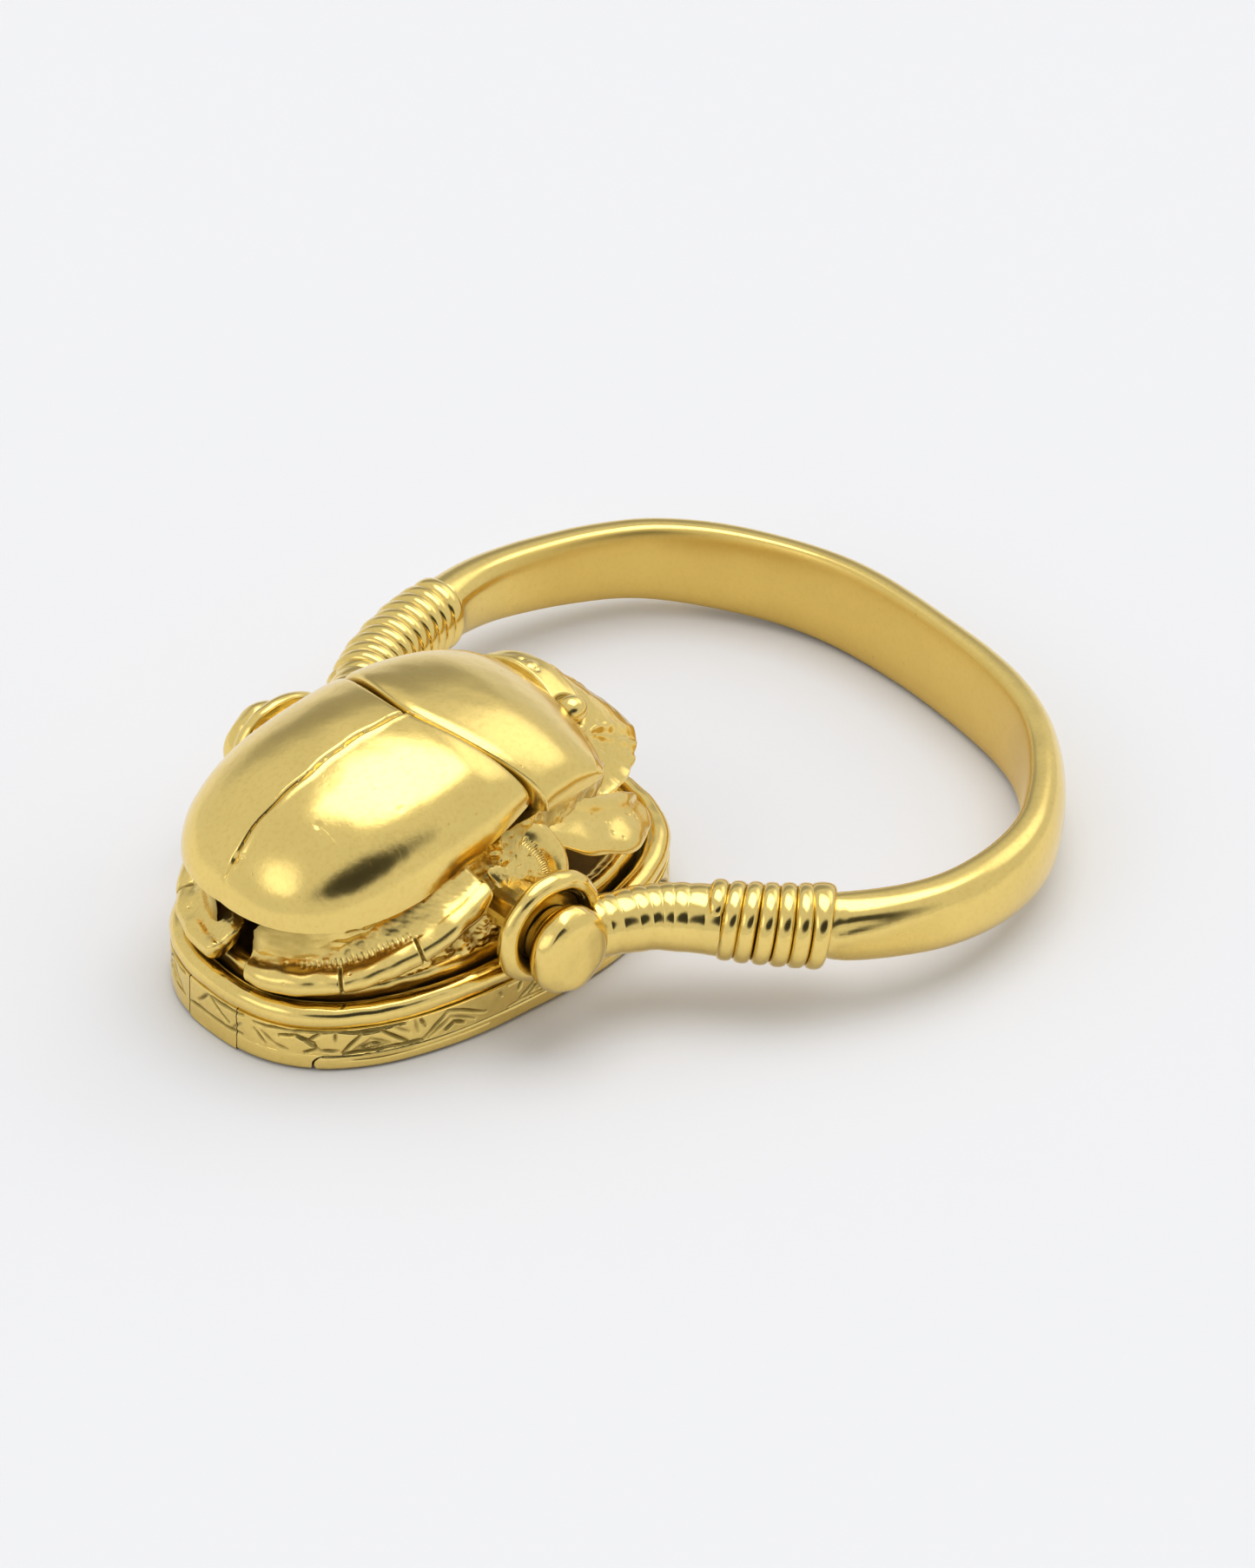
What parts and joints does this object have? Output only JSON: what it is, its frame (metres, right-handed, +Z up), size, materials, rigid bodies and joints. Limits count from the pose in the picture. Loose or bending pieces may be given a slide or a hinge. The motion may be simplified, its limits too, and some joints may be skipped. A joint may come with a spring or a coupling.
{
  "type": "locket ring",
  "caption": "Finger ring with a swivelling oval locket topped by a scarab, a hinged flat lid and a hoop with wire-wound shoulders.",
  "frame": {"origin": "centre of the lid's flat underside, where the closed locket stands on the table", "axes": "+Z up from the lid to the scarab, +X along the locket from the tail to the scarab's head and on to the hoop, +Y to the scarab's left along the swivel pin"},
  "size_m": [0.0265, 0.0215, 0.0077],
  "materials": {
    "polished_gold": "polished",
    "satin_gold": "satin",
    "aged_gold": "satin with dark recesses"
  },
  "bodies": {
    "shank": {"hoop": "satin_gold", "right_wire_winding": "polished_gold", "left_wire_winding": "polished_gold", "right_fine_binding": "polished_gold", "left_fine_binding": "polished_gold", "right_terminal_cup": "polished_gold", "left_terminal_cup": "polished_gold", "swivel_pin": "satin_gold", "right_rivet_head": "polished_gold", "left_rivet_head": "polished_gold"},
    "bezel": {"pin_tube": "aged_gold", "right_tube_saddle": "aged_gold", "left_tube_saddle": "aged_gold", "base_plate": "aged_gold", "bead_moulding": "polished_gold", "bezel_wall": "polished_gold", "tail_block": "polished_gold", "heel_plate": "polished_gold", "body_skirt": "aged_gold", "scarab_back": "polished_gold", "scarab_head": "polished_gold", "right_rear_leg": "polished_gold", "right_middle_leg": "polished_gold", "right_front_leg": "polished_gold", "left_rear_leg": "polished_gold", "left_middle_leg": "polished_gold", "left_front_leg": "polished_gold"},
    "lid": {"lid_plate": "polished_gold", "lid_rim": "polished_gold", "lid_snap_ring": "satin_gold", "lid_hinge_pin": "polished_gold"}
  },
  "joints": [
    {"name": "swivel", "type": "hinge", "parent": "shank", "child": "bezel", "pos_m": [-0.0003, 0, 0.00335], "axis": [0, 1, 0], "continuous": true},
    {"name": "lid", "type": "hinge", "parent": "bezel", "child": "lid", "pos_m": [-0.00615, 0, 0.00023], "axis": [0, 1, 0], "range_deg": [0, 95]}
  ]
}
